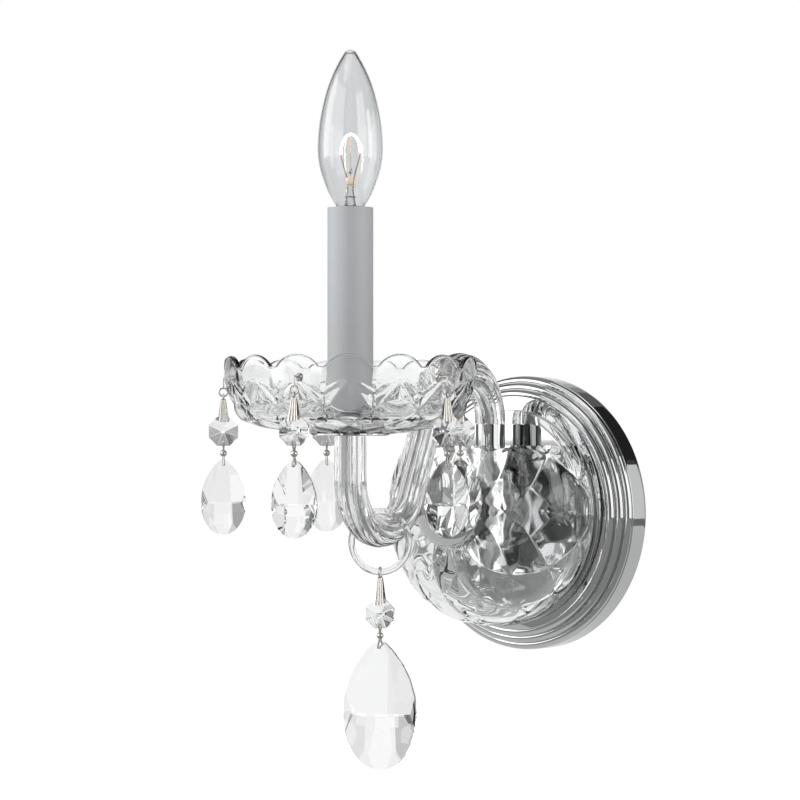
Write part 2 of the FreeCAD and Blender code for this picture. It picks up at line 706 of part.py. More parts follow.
def make_socket():
    """Insulating socket body with the well for the brass screw shell."""
    well = size.shell_radius + size.fit
    floor = bulb_foot - size.well_floor
    outline = [(dim(0), socket_bottom), (size.socket_radius * 0.72, socket_bottom),
               (size.socket_radius, socket_bottom + 3.0, -0.4),
               (size.socket_radius, socket_bottom + size.socket_length),
               (well, socket_bottom + size.socket_length), (well, floor), (dim(0), floor)]
    return piece(place(turned("socket_body", outline), x=axis_x, y=axis_y), "socket_body")


def make_shell():
    """Brass screw shell inside the socket, with the spring contact's seat left open."""
    low = bulb_foot + size.shell_start
    high = socket_bottom + size.socket_length - size.shell_end
    return make_tube("socket_shell", size.shell_radius, size.shell_radius - size.shell_wall,
                     high - low, (0, 0, 1), axis_x, axis_y, low)


def make_contact():
    """Sprung centre contact under the lamp."""
    floor = bulb_foot - size.well_floor
    top = floor + size.contact_wall + size.contact_rise
    outline = [(dim(0), floor), (size.contact_radius, floor),
               (size.contact_radius, floor + size.contact_wall),
               (size.contact_crown, top, 0.1), (dim(0), top)]
    return piece(place(turned("socket_contact", outline), x=axis_x, y=axis_y), "socket_contact")


def make_bulb():
    """Clear candle lamp: screw base, tip contact, glass envelope, flare, leads and filament."""
    tip = [(dim(0), bulb_foot), (size.tip_radius * 0.6, bulb_foot),
           (size.tip_radius, bulb_foot + size.tip_length, 0.3), (dim(0), bulb_foot + size.tip_length)]
    piece(place(turned("bulb_tip", tip), x=axis_x, y=axis_y), "bulb_tip")
    radius = size.base_radius
    base = [(dim(0), base_foot), (radius * 0.55, base_foot), (radius, base_foot + 2.6), (radius, base_top),
            (radius - 0.4, base_top), (radius - 0.4, base_foot + 3.0), (dim(0), base_foot + 3.0)]
    piece(place(turned("bulb_base", base), x=axis_x, y=axis_y), "bulb_base")
    belly = size.bulb_radius
    rise = bulb_top - base_top
    wall = size.bulb_wall
    low = base_top - 1.5
    neck = radius - 0.4 - size.fit
    profile = [(neck + 1.1, 0.049, None), (belly * 0.807, 0.2, -0.5), (belly, 0.447, -1.15),
               (belly * 0.814, 0.693, -0.48), (belly * 0.27, 0.959, -0.85), (belly * 0.173, 0.987, -0.08)]
    outer = [(neck, low), (neck, base_top)]
    inner = [(neck - wall, base_top), (neck - wall, low)]
    follower = None
    for radius_here, share, bulge in profile:
        spot = (radius_here, base_top + rise * share)
        outer.append(spot if bulge is None else spot + (bulge,))
    for radius_here, share, bulge in reversed(profile):
        spot = (radius_here - wall, base_top + rise * share - (wall if share > 0.9 else 0))
        inner.insert(-2, spot if follower is None else spot + (follower,))
        follower = None if bulge is None else -bulge
    outer.append((belly * 0.07, bulb_top, -0.12))
    outer.append((dim(0), bulb_top))
    outer.append((dim(0), bulb_top - 2.4 * wall))
    piece(place(turned("bulb_envelope", outer + inner), x=axis_x, y=axis_y), "bulb_envelope")
    flare = size.flare_radius
    stem = [(dim(0), low), (neck - wall - 0.15, low), (flare, low + 4.0, 0.5),
            (flare * 0.5, low + size.flare_length * 0.7, 0.1), (flare * 0.55, low + size.flare_length),
            (dim(0), low + size.flare_length)]
    piece(place(turned("bulb_stem", stem), x=axis_x, y=axis_y), "bulb_stem")


def wire_solid(points, radius):
    """Round wire through points, with ball corners."""
    solid = None
    for first, last in zip(points[:-1], points[1:]):
        along = last - first
        part = Part.makeCylinder(radius, along.Length, first, along)
        if solid is not None:
            part = part.fuse(Part.makeSphere(radius, first))
            solid = solid.fuse(part)
        else:
            solid = part
    return solid.removeSplitter()


def make_filament():
    """Two lead wires from the flare's sides and the arched filament between their ends."""
    low = float(base_top) - 1.5 + float(size.flare_length)
    level = float(bulb_foot + size.filament_rise)
    half = float(size.filament_width) / 2
    rise = float(size.filament_arch)
    start = float(size.flare_radius) * 0.55 + float(size.lead_radius) + 0.02
    leads = None
    for sign in (-1, 1):
        route = [Vector(sign * start, 0, low - float(size.lead_tuck)), Vector(sign * start, 0, low),
                 Vector(sign * half, 0, level)]
        lead = wire_solid(route, float(size.lead_radius))
        leads = lead if leads is None else Part.makeCompound([leads, lead])
    piece(shaped("bulb_leads", leads, axis_x, axis_y), "bulb_leads")
    steps = 12
    contact = float(size.lead_radius) + float(size.coil_radius)
    arch = []
    for number in range(steps + 1):
        angle = pi * number / steps
        arch.append(Vector(-half * cos(angle), 0, level + contact + rise * sin(angle)))
    filament = shaped("bulb_filament", wire_solid(arch, float(size.coil_radius)), axis_x, axis_y)
    piece(filament, "bulb_filament")


# ---------------------------------------------------------------- crystals and their links
def cut_stone(outline, facets, thickness, girdle):
    """A flat stone with the outline in the XZ plane, ground on both faces by planes.

    Each facet passes through its own point at full thickness and runs down to the girdle."""
    half = thickness / 2
    corners = [Vector(x, -half, z) for x, z in outline]
    stone = Part.Face(Part.makePolygon(corners + corners[:1])).extrude(Vector(0, thickness, 0))
    reach_out = 6 * max(abs(corner.x) + abs(corner.z) for corner in corners)
    for x, z, azimuth in facets:
        out = max((corner.x - x) * sin(azimuth) + (corner.z - z) * cos(azimuth) for corner in corners)
        tilt = atan((thickness - girdle) / 2 / out)
        for front in (-1, 1):
            block = Part.makeBox(reach_out, reach_out, reach_out,
                                 Vector(-reach_out / 2, -reach_out / 2, 0))
            normal = Vector(sin(azimuth) * sin(tilt), front * cos(tilt), cos(azimuth) * sin(tilt))
            block.Placement = FreeCAD.Placement(Vector(x, front * half, z),
                                                FreeCAD.Rotation(Vector(0, 0, 1), normal))
            stone = stone.cut(block)
    return stone


def bead_solid(width, thickness, girdle, hole):
    """Octagon bead, eight facets to each face, with a pin hole at the top and the bottom."""
    apothem = width / 2
    corner = apothem / cos(pi / 8)
    outline = [(corner * sin(pi / 8 + pi / 4 * k), corner * cos(pi / 8 + pi / 4 * k)) for k in range(8)]
    facets = [(0.0, 0.0, pi / 4 * k) for k in range(8)]
    bead = cut_stone(outline, facets, thickness, girdle)
    for sign in (-1, 1):
        drill = Part.makeCylinder(float(size.pin_hole), 2 * thickness,
                                  Vector(0, -thickness, sign * hole), Vector(0, 1, 0))
        bead = bead.cut(drill)
    return bead


def almond_solid(width, length, thickness, girdle, hole):
    """Almond drop, hung at its narrow end, with kite facets meeting on a level line; top at z = 0."""
    half = width / 2
    up = 0.58 * length
    down = length - up
    belt = -up
    taper = 0.42
    outline = []
    for number in range(24):
        angle = 2 * pi * number / 24
        share = cos(angle)
        if share > 0:
            outline.append((half * sin(angle) * (1 - taper * share ** 3), belt + share * up))
        else:
            outline.append((half * sin(angle), belt + share * down))
    facets = [(0.0, belt, 0.0), (0.0, belt, pi)]
    for sign in (-1, 1):
        facets.append((sign * 0.30 * half, belt, sign * radians(58)))
        facets.append((sign * 0.30 * half, belt, sign * radians(122)))
        facets.append((sign * 0.12 * half, belt + 0.30 * up, sign * radians(30)))
        facets.append((sign * 0.14 * half, belt - 0.24 * down, sign * radians(150)))
        facets.append((sign * 0.55 * half, belt, sign * radians(90)))
    stone = cut_stone(outline, facets, thickness, girdle)
    drill = Part.makeCylinder(float(size.pin_hole), 2 * thickness, Vector(0, -thickness, -hole),
                              Vector(0, 1, 0))
    return stone.cut(drill)


def clip_solid(eye, top, bead_top):
    """Folded clip: a round eye, two fluted leaves astride the bead and a pin through its hole."""
    wire = float(size.link_wire)
    wall = float(size.clip_wall)
    head = float(size.clip_top) / 2
    foot = float(size.clip_foot) / 2
    deep = float(size.clip_depth) / 2
    solid = Part.makeTorus(eye, wire, Vector(0, 0, top - eye), Vector(1, 0, 0))
    high = top - 2 * eye + wire * 0.2
    low = bead_top - 0.9
    fold = wall + 0.1
    for side in (-1, 1):
        upper = [Vector(-head, side * (fold - wall), high), Vector(head, side * (fold - wall), high),
                 Vector(head, side * fold, high), Vector(-head, side * fold, high)]
        lower = [Vector(-foot, side * (deep - wall), low), Vector(foot, side * (deep - wall), low),
                 Vector(foot, side * deep, low), Vector(-foot, side * deep, low)]
        sections = [Part.makePolygon(ring + ring[:1]) for ring in (lower, upper)]
        solid = solid.fuse(Part.makeLoft(sections, True, True))
    knot = Part.makeBox(2 * head, 2 * fold, 2 * wire, Vector(-head, -fold, high - wire))
    pin = Part.makeCylinder(wire, 2 * deep - 0.2, Vector(0, -deep + 0.1, bead_top), Vector(0, 1, 0))
    return solid.fuse([knot, pin]).removeSplitter()


def link_solid(upper, ball, lower, spread_up, spread_low):
    """Bow-tie link: a pin and two legs up, a ball, two legs and a pin down."""
    wire = float(size.link_wire)
    solid = Part.makeSphere(float(size.ball_radius), Vector(0, 0, ball))
    for level, spread in ((upper, spread_up), (lower, spread_low)):
        route = [Vector(0, 0, ball), Vector(0, -spread, level), Vector(0, spread, level), Vector(0, 0, ball)]
        solid = solid.fuse(wire_solid(route, wire))
    return solid.removeSplitter()


def lowered(solid, level):
    """The solid at another height, worked into its geometry."""
    move = FreeCAD.Matrix()
    move.move(Vector(0, 0, level))
    return solid.transformed(move, True)


def hang(eye, clip_length, top, spot, facing, names, stone):
    """Clip, octagon bead, link and drop below a pivot, in the string's own frame."""
    bead_level = top - 2 * eye - float(clip_length) - float(size.bead_hole) + 0.2
    hole = float(size.bead_hole)
    clip = clip_solid(eye, top, bead_level + hole)
    bead = bead_solid(float(size.bead_width), float(size.bead_thickness), float(size.bead_girdle), hole)
    bead = lowered(bead, bead_level)
    width, length, thickness, girdle, drop_hole, hole_drop, spread = stone
    ball = bead_level - float(size.ball_drop)
    drop_level = bead_level - hole_drop
    link = link_solid(bead_level - hole, ball, drop_level, float(size.bead_spread), spread)
    drop = almond_solid(width, length, thickness, girdle, drop_hole)
    drop = lowered(drop, drop_level + drop_hole)
    for name, solid in zip(names, (clip, bead, link, drop)):
        piece(shaped(name, solid, *spot, turn=facing), name)
    return bead_level


def make_string(number):
    """One string of the dish: hook through the dish wall, then clip, bead, link and drop."""
    turn = float(size.dish_turn) + 360.0 * number / int(float(size.hook_holes))
    angle = radians(turn)
    out = float(string_radius)
    wire = float(size.link_wire)
    inside = float(size.dish_radius) - float(size.dish_wall) - float(size.ball_radius) - float(size.hook_play)
    level = float(size.eye_radius)
    drop = float(size.hook_drop)
    knee = level + drop
    facing = string_facing[number % len(string_facing)]
    local = radians(turn - facing)
    inward = Vector(-sin(local), cos(local), 0)
    head = Part.makeSphere(float(size.ball_radius), inward * (out - inside) + Vector(0, 0, knee))
    route = [inward * (out - inside) + Vector(0, 0, knee), Vector(0, 0, knee), Vector(0, 0, 2 * level)]
    eye = Part.makeTorus(level, wire, Vector(0, 0, level), Vector(0, 1, 0))
    hook = wire_solid(route, wire).fuse([head, eye]).removeSplitter()
    spot = (axis_x + string_radius * sin(angle), axis_y - string_radius * cos(angle), pivot_level)
    label = number + 1
    piece(shaped("hook_%d" % label, hook, *spot, turn=facing), "hook_%d" % label)
    names = ["%s_%d" % (word, label) for word in ("clip", "bead", "link", "drop")]
    stone = (float(size.drop_width), float(size.drop_length), float(size.drop_thickness),
             float(size.drop_girdle), float(size.drop_hole), float(size.drop_hole_drop),
             float(size.drop_spread))
    top = 2 * wire + float(size.loop_gap)
    hang(float(size.clip_eye), size.clip_length, top, spot, facing, names, stone)


ring_top = bend_bottom + size.arm_radius + size.gap + size.ring_wire
ring_level = ring_top - size.ring_radius
ring_low = ring_level - size.ring_radius


def make_ring():
    """Plain glass ring that hangs in the arm's lower bend."""
    ring = doc.addObject("Part::Torus", "glass_ring")
    bind(ring, "Radius1", size.ring_radius)
    bind(ring, "Radius2", size.ring_wire)
    turn = float(size.ring_turn)
    upright = FreeCAD.Rotation(Vector(0, 0, 1), turn).multiply(FreeCAD.Rotation(Vector(1, 0, 0), 90))
    ring.Placement = FreeCAD.Placement(Vector(0, 0, 0), upright)
    return piece(shift(ring, bend_x, bend_y, ring_level), "glass_ring")


def make_pendant():
    """The large pendant below the ring."""
    spot = (bend_x, bend_y, ring_low)
    stone = (float(size.pendant_width), float(size.pendant_length), float(size.pendant_thickness),
             float(size.pendant_girdle), float(size.pendant_hole), float(size.pendant_hole_drop),
             float(size.pendant_spread))
    top = float(size.ring_wire + size.link_wire + size.loop_gap)
    names = ["ring_clip", "ring_bead", "ring_link", "ring_pendant"]
    hang(float(size.ring_eye), size.pendant_clip, top, spot, ring_facing, names, stone)


# ---------------------------------------------------------------- build
make_wall_plate()
make_crossbar()
make_ground_screw()
make_tube("center_stem", size.stem_radius, size.stem_bore, size.hub_out - size.hub_radius + size.hub_wall,
          (0, -1, 0))
make_stem_nuts()
make_hub()
make_hub_cap()
make_bowl()
make_bowl_cap()
make_stud()
make_ferrule()
foot_stem_low = size.hub_top - size.hub_wall - 3.0
make_tube("foot_stem", size.stem_radius, size.stem_bore,
          size.hub_top + 2 * size.flange_wall - foot_stem_low, (0, 0, 1), 0, -size.hub_out, foot_stem_low)
make_arm()
make_wire()
make_pan()
dish_stem_low = cup_top - 1.6 * size.cup_wall
make_tube("dish_stem", size.stem_radius, size.stem_bore, nut_top + size.strap_wall + 1.0 - dish_stem_low,
          (0, 0, 1), axis_x, axis_y, dish_stem_low)
make_dish()
make_washer()
make_dish_nut()
make_strap()
make_socket()
make_shell()
make_contact()
make_tube("candle_sleeve", size.sleeve_radius, size.sleeve_radius - size.sleeve_wall, size.sleeve_length,
          (0, 0, 1), axis_x, axis_y, washer_top)
make_bulb()
make_filament()
make_ring()
make_pendant()
for string in range(int(float(size.hook_holes))):
    make_string(string)

doc.recompute()
faults = []
for thing in doc.Objects:
    if "Invalid" in thing.State or "Error" in thing.State:
        faults.append("%s: %s" % (thing.Name, thing.State))
for thing in pieces:
    if thing.Shape.isNull() or not thing.Shape.isValid() or not thing.Shape.Solids:
        faults.append("%s has no sound solid" % thing.Label)
if faults:
    raise SystemExit("\n".join(faults))

os.makedirs("parts", exist_ok=True)
for thing in pieces:
    thing.Shape.exportStep(os.path.join("parts", thing.Label + ".step"))
print("%d pieces written, arm %.2f, bend bottom %.2f" % (len(pieces), arm_length.number, bend_bottom.number))
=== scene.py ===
from math import acos, asin, atan2, cos, degrees, hypot, pi, radians, sin, sqrt

import bpy
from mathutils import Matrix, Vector
from mathutils.kdtree import KDTree


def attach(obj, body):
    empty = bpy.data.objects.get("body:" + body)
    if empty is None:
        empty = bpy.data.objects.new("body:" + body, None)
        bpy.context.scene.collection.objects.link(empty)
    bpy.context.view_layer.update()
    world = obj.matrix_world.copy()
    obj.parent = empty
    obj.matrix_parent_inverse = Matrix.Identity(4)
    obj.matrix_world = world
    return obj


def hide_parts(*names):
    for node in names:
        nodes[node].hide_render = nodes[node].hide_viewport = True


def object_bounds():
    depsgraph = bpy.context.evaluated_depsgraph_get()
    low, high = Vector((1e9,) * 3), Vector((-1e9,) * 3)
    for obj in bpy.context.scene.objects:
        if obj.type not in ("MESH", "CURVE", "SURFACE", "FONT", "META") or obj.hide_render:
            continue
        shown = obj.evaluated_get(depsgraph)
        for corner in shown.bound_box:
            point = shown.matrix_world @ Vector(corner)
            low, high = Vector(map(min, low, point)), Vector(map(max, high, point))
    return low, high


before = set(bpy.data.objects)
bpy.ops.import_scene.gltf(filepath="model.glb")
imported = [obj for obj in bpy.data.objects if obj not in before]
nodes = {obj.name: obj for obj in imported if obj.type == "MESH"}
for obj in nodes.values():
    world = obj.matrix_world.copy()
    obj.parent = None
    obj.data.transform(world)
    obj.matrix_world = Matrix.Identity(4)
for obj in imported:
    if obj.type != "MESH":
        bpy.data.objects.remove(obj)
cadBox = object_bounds()
mm = 0.001
print("frame loaded:", len(nodes), "nodes")


# ---- shader maths: a wire carries a socket, and arithmetic on it adds Math nodes
class Wire:
    def __init__(self, paint, socket):
        self.paint = paint
        self.socket = socket

    def join(self, operation, first, second=0.0):
        return self.paint.node("ShaderNodeMath", {"operation": operation}, {0: first, 1: second})

    def __add__(self, other):
        return self.join("ADD", self, other)

    def __radd__(self, other):
        return self.join("ADD", other, self)

    def __sub__(self, other):
        return self.join("SUBTRACT", self, other)

    def __mul__(self, other):
        return self.join("MULTIPLY", self, other)

    def __rmul__(self, other):
        return self.join("MULTIPLY", other, self)

    def __gt__(self, other):
        return self.join("GREATER_THAN", self, other)

    def highest(self, other):
        return self.join("MAXIMUM", self, other)


class Paint:
    def __init__(self, name):
        self.material = bpy.data.materials.new(name)
        self.material.use_nodes = True
        self.tree = self.material.node_tree
        self.shader = self.tree.nodes["Principled BSDF"]

    def node(self, kind, settings=None, inputs=None, output=0):
        made = self.tree.nodes.new(kind)
        for name, value in (settings or {}).items():
            setattr(made, name, value)
        for name, value in (inputs or {}).items():
            if isinstance(value, Wire):
                self.tree.links.new(value.socket, made.inputs[name])
            else:
                made.inputs[name].default_value = value
        return Wire(self, made.outputs[output])

    def noise(self, scale, detail, rough):
        coords = self.node("ShaderNodeTexCoord", output="Object")
        return self.node("ShaderNodeTexNoise", {}, {"Scale": scale, "Detail": detail, "Roughness": rough,
                                                    "Vector": coords})

    def blend(self, factor, first, second):
        return self.node("ShaderNodeMix", {"data_type": "RGBA"},
                         {"Factor": factor, "A": first, "B": second}, "Result")

    def bump(self, height, strength, distance):
        return self.node("ShaderNodeBump", {}, {"Height": height, "Strength": strength,
                                                "Distance": distance})

    def set(self, **values):
        names = {"colour": "Base Color", "metal": "Metallic", "rough": "Roughness", "normal": "Normal",
                 "clear": "Transmission Weight", "bend": "IOR", "glow": "Emission Color",
                 "glowPower": "Emission Strength"}
        for name, value in values.items():
            socket = self.shader.inputs[names[name]]
            if isinstance(value, Wire):
                self.tree.links.new(value.socket, socket)
            else:
                socket.default_value = value
        return self.material


def grey(level):
    return (level, level, level, 1.0)


# ---- finishes
finishSizes = {
    "chromeTint": (0.42, 0.43, 0.435, 1), "chromeHaze": 0.03, "glassBend": 1.5, "crystalBend": 1.56,
    "candleTint": (0.66, 0.675, 0.69, 1), "lampTint": (0.845, 0.855, 0.86, 1), 
    "armTint": (0.945, 0.952, 0.946, 1),
    "pressedTint": (0.955, 0.962, 0.962, 1), "filamentPower": 14.0,
}


def chromeFinish(name, tint, light, base):
    paint = Paint(name)
    smear = paint.noise(45.0, 4.0, 0.6)
    dust = paint.noise(900.0, 2.0, 0.5)
    haze = base + smear * finishSizes["chromeHaze"] + (dust > 0.68) * 0.04
    shade = paint.blend(smear, tint, light)
    dents = paint.bump(paint.noise(60.0, 2.0, 0.5), 0.02, 0.0004)
    return paint.set(colour=shade, metal=1.0, rough=haze, normal=dents)


def steelFinish():
    paint = Paint("zincSteel")
    cloud = paint.noise(220.0, 4.0, 0.6)
    tint = paint.blend(cloud, (0.52, 0.53, 0.54, 1), (0.70, 0.71, 0.70, 1))
    grain = paint.bump(paint.noise(1500.0, 3.0, 0.6), 0.25, 0.0001)
    return paint.set(colour=tint, metal=1.0, rough=0.28 + cloud * 0.2, normal=grain)


def brassFinish(name, light, dark, base):
    paint = Paint(name)
    cloud = paint.noise(260.0, 4.0, 0.65)
    tint = paint.blend(cloud, light, dark)
    grain = paint.bump(paint.noise(1400.0, 3.0, 0.6), 0.2, 0.0001)
    return paint.set(colour=tint, metal=1.0, rough=base + cloud * 0.15, normal=grain)


def earthGreenFinish():
    paint = Paint("earthGreen")
    cloud = paint.noise(300.0, 3.0, 0.6)
    tint = paint.blend(cloud, (0.03, 0.20, 0.06, 1), (0.06, 0.30, 0.10, 1))
    return paint.set(colour=tint, metal=0.6, rough=0.3 + cloud * 0.15)


def glassFinish(name, bend, waviness, waveScale, tint):
    paint = Paint(name)
    ripple = paint.noise(waveScale, 1.0, 0.4)
    fine = paint.noise(waveScale * 5.0, 3.0, 0.55)
    wavy = paint.bump(ripple, waviness, 0.0006)
    mottle = paint.blend(fine, tint, [min(1.0, share + 0.015) for share in tint])
    return paint.set(colour=mottle, clear=1.0, bend=bend, rough=fine * 0.012, normal=wavy)


def crystalFinish():
    paint = Paint("cutCrystal")
    polish = paint.noise(400.0, 2.0, 0.5)
    tint = paint.blend(polish, (0.985, 0.99, 1, 1), grey(1.0))
    return paint.set(colour=tint, clear=1.0, bend=finishSizes["crystalBend"], rough=polish * 0.006)


def candleFinish():
    paint = Paint("candleSatin")
    cloud = paint.noise(38.0, 3.0, 0.5)
    tint = paint.blend(cloud, finishSizes["candleTint"], (0.70, 0.71, 0.72, 1))
    skin = paint.bump(paint.noise(700.0, 3.0, 0.5), 0.08, 0.0002)
    return paint.set(colour=tint, rough=0.42 + cloud * 0.08, normal=skin)


def socketFinish():
    paint = Paint("socketBlack")
    cloud = paint.noise(150.0, 3.0, 0.6)
    tint = paint.blend(cloud, (0.015, 0.015, 0.016, 1), (0.045, 0.043, 0.042, 1))
    return paint.set(colour=tint, rough=0.38 + cloud * 0.2)


def wireFinish():
    paint = Paint("leadInsulation")
    cloud = paint.noise(200.0, 3.0, 0.6)
    tint = paint.blend(cloud, (0.55, 0.56, 0.55, 1), (0.70, 0.70, 0.68, 1))
    return paint.set(colour=tint, rough=0.45 + cloud * 0.1)


def filamentFinish():
    paint = Paint("glowingFilament")
    turns = paint.noise(1800.0, 2.0, 0.5)
    warm = paint.blend(turns, (1.0, 0.72, 0.38, 1), (1.0, 0.86, 0.62, 1))
    return paint.set(colour=(0.3, 0.2, 0.1, 1), rough=0.5, glow=warm,
                     glowPower=finishSizes["filamentPower"])


def paintedGlowMountFinish():
    paint = Paint("paintedGlowMount")
    cloud = paint.noise(700.0, 2.0, 0.5)
    warm = paint.blend(cloud, (1.0, 0.80, 0.52, 1), (1.0, 0.95, 0.84, 1))
    # painted glow: emission makes the mount shine as if lit by the filament, though the mount is no lamp
    return paint.set(colour=warm, rough=0.3, glow=warm, glowPower=0.35)


chrome = chromeFinish("polishedChrome", finishSizes["chromeTint"], grey(0.48), 0.02)
hubChrome = chromeFinish("hubChrome", grey(0.86), grey(0.93), 0.16)
steel = steelFinish()
brass = brassFinish("socketBrass", (0.80, 0.60, 0.28, 1), (0.62, 0.44, 0.19, 1), 0.25)
nickel = brassFinish("lampNickel", (0.66, 0.64, 0.60, 1), (0.50, 0.48, 0.44, 1), 0.25)
copperLead = brassFinish("leadWire", (0.75, 0.55, 0.42, 1), (0.50, 0.42, 0.38, 1), 0.3)
pinMetal = brassFinish("pinWire", (0.62, 0.60, 0.57, 1), (0.46, 0.44, 0.41, 1), 0.14)
earthGreen = earthGreenFinish()
pressedGlass = glassFinish("pressedGlass", finishSizes["glassBend"], 0.16, 90.0,
                           finishSizes["pressedTint"])
armGlass = glassFinish("drawnGlass", finishSizes["glassBend"], 0.3, 80.0, finishSizes["armTint"])
lampGlass = glassFinish("lampGlass", 1.45, 0.03, 50.0, finishSizes["lampTint"])
crystal = crystalFinish()
candle = candleFinish()
socketBlack = socketFinish()
insulation = wireFinish()
filament = filamentFinish()
paintedGlowMount = paintedGlowMountFinish()
print("finishes made:", len(bpy.data.materials))

# ---- finish of every carried-over node
nodeFinish = {
    "wall_plate": chrome, "crossbar": steel, "ground_screw": earthGreen, "center_stem": steel,
    "stem_nuts": steel, "arm_hub": hubChrome, "hub_cap": hubChrome, "wall_bowl": pressedGlass,
    "bowl_cap": chrome, "cap_stud": steel, "foot_ferrule": chrome, "foot_stem": steel,
    "glass_arm": armGlass, "lamp_wire": insulation, "dish_pan": chrome, "dish_stem": steel,
    "glass_dish": pressedGlass, "dish_washer": chrome, "dish_nut": steel, "socket_strap": steel,
    "socket_body": socketBlack, "socket_shell": brass, "socket_contact": brass,
    "candle_sleeve": candle, "bulb_tip": nickel, "bulb_base": nickel, "bulb_envelope": lampGlass,
    "bulb_stem": lampGlass, "bulb_leads": copperLead, "bulb_filament": filament,
    "glass_ring": armGlass, "ring_clip": pinMetal, "ring_bead": crystal, "ring_link": pinMetal,
    "ring_pendant": crystal,
}
for number in range(1, 6):
    nodeFinish["hook_%d" % number] = pinMetal
    nodeFinish["clip_%d" % number] = pinMetal
    nodeFinish["bead_%d" % number] = crystal
    nodeFinish["link_%d" % number] = pinMetal
    nodeFinish["drop_%d" % number] = crystal
for name, material in nodeFinish.items():
    nodes[name].data.materials.clear()
    nodes[name].data.materials.append(material)


# ---- modelling helpers
def clearSelection():
    if bpy.context.object and bpy.context.object.mode != "OBJECT":
        bpy.ops.object.mode_set(mode="OBJECT")
    bpy.ops.object.select_all(action="DESELECT")


def arcPoints(route):
    # corners (r, h) or (r, h, sagitta to the left of travel, steps) become a smooth chain
    chain = [route[0][:2]]
    for corner in route[1:]:
        x0, y0 = chain[-1]
        x1, y1 = corner[:2]
        steps = corner[3] if len(corner) > 3 else (8 if len(corner) > 2 else 1)
        if len(corner) > 2 and abs(corner[2]) > 1e-9:
            chord = hypot(x1 - x0, y1 - y0)
            rise = corner[2]
            radius = (chord * chord / 4 + rise * rise) / (2 * abs(rise))
            side = 1 if rise > 0 else -1
            left = (-(y1 - y0) / chord, (x1 - x0) / chord)
            back = abs(rise) - radius
            centre = ((x0 + x1) / 2 + left[0] * side * back, (y0 + y1) / 2 + left[1] * side * back)
            start = atan2(y0 - centre[1], x0 - centre[0])
            sweep = atan2(y1 - centre[1], x1 - centre[0]) - start
            if rise > 0:
                sweep = sweep - 2 * pi if sweep > 0 else sweep
            else:
                sweep = sweep + 2 * pi if sweep < 0 else sweep
            for step in range(1, steps):
                angle = start + sweep * step / steps
                chain.append((centre[0] + radius * cos(angle), centre[1] + radius * sin(angle)))
            chain.append((x1, y1))
        else:
            for step in range(1, steps + 1):
                chain.append((x0 + (x1 - x0) * step / steps, y0 + (y1 - y0) * step / steps))
    return chain


def spunPiece(name, chain, centre, axis, steps):
    # a profile drawn point by point, then spun once round and merged
    def spot(point):
        if axis == "Z":
            return Vector((centre[0] + point[0], centre[1], point[1])) * mm
        return Vector((centre[0] + point[0], point[1], centre[2])) * mm

    clearSelection()
    bpy.ops.mesh.primitive_plane_add(size=mm, location=(0, 0, 0))
    piece = bpy.context.object
    piece.name = name
    piece.data.name = name
    bpy.ops.object.mode_set(mode="EDIT")
    bpy.ops.mesh.select_all(action="SELECT")
    bpy.ops.mesh.merge(type="CENTER")
    bpy.ops.transform.translate(value=spot(chain[0]))
    here = spot(chain[0])
    for point in chain[1:]:
        there = spot(point)
        bpy.ops.mesh.extrude_region_move(TRANSFORM_OT_translate={"value": there - here})
        here = there
    bpy.ops.mesh.extrude_region_move(TRANSFORM_OT_translate={"value": spot(chain[0]) - here})
    bpy.ops.mesh.select_all(action="SELECT")
    line = (0, 0, 1) if axis == "Z" else (0, 1, 0)
    bpy.ops.mesh.spin(steps=steps, angle=2 * pi, center=Vector(centre) * mm, axis=line)
    bpy.ops.mesh.select_all(action="SELECT")
    bpy.ops.mesh.remove_doubles(threshold=0.004 * mm)
    bpy.ops.mesh.normals_make_consistent(inside=False)
    bpy.ops.object.mode_set(mode="OBJECT")
    return piece


def smoothBy(piece, angle):
    clearSelection()
    bpy.context.view_layer.objects.active = piece
    piece.select_set(True)
    bpy.ops.object.shade_smooth_by_angle(angle=radians(angle))


def finishPiece(piece, material, body, replaced, angle=35):
    smoothBy(piece, angle)
    piece.data.materials.clear()
    piece.data.materials.append(material)
    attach(piece, body)
    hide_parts(*replaced)
    print("made", piece.name, len(piece.data.polygons), "faces")
    return piece


def press(piece, depths, amount, direction="NORMAL"):
    # vertex weights between 0 and 1, then one Displace modifier that presses them in
    group = piece.vertex_groups.new(name="pressed")
    for index, depth in enumerate(depths):
        if depth > 0:
            group.add([index], min(1.0, depth), "REPLACE")
    clearSelection()
    bpy.context.view_layer.objects.active = piece
    piece.select_set(True)
    modifier = piece.modifiers.new("press", "DISPLACE")
    modifier.direction = direction
    modifier.mid_level = 0.0
    modifier.strength = -amount * mm
    modifier.vertex_group = group.name
    bpy.ops.object.modifier_apply(modifier=modifier.name)
    piece.vertex_groups.clear()


def groove(offset, width):
    # 1 at the bottom of a V cut, 0 at its edges
    return max(0.0, 1.0 - abs(offset) / (width / 2))


def pillow(offset, half):
    # a crisp line with a softly dished flank on both sides
    return max(0.0, 1.0 - abs(offset) / half) ** 2.8


def nearest(value, pitch):
    return value - pitch * round(value / pitch)


# ---- wall plate
plateSizes = {"radius": 70.5, "band": 11.0, "wall": 1.0, "ringWidth": 3.5, "ringRise": 3.0,
              "bulge": 1.25, "backBulge": 0.6, "boss": 53.0, "bossOut": 23.0, "hole": 4.9, "steps": 240}


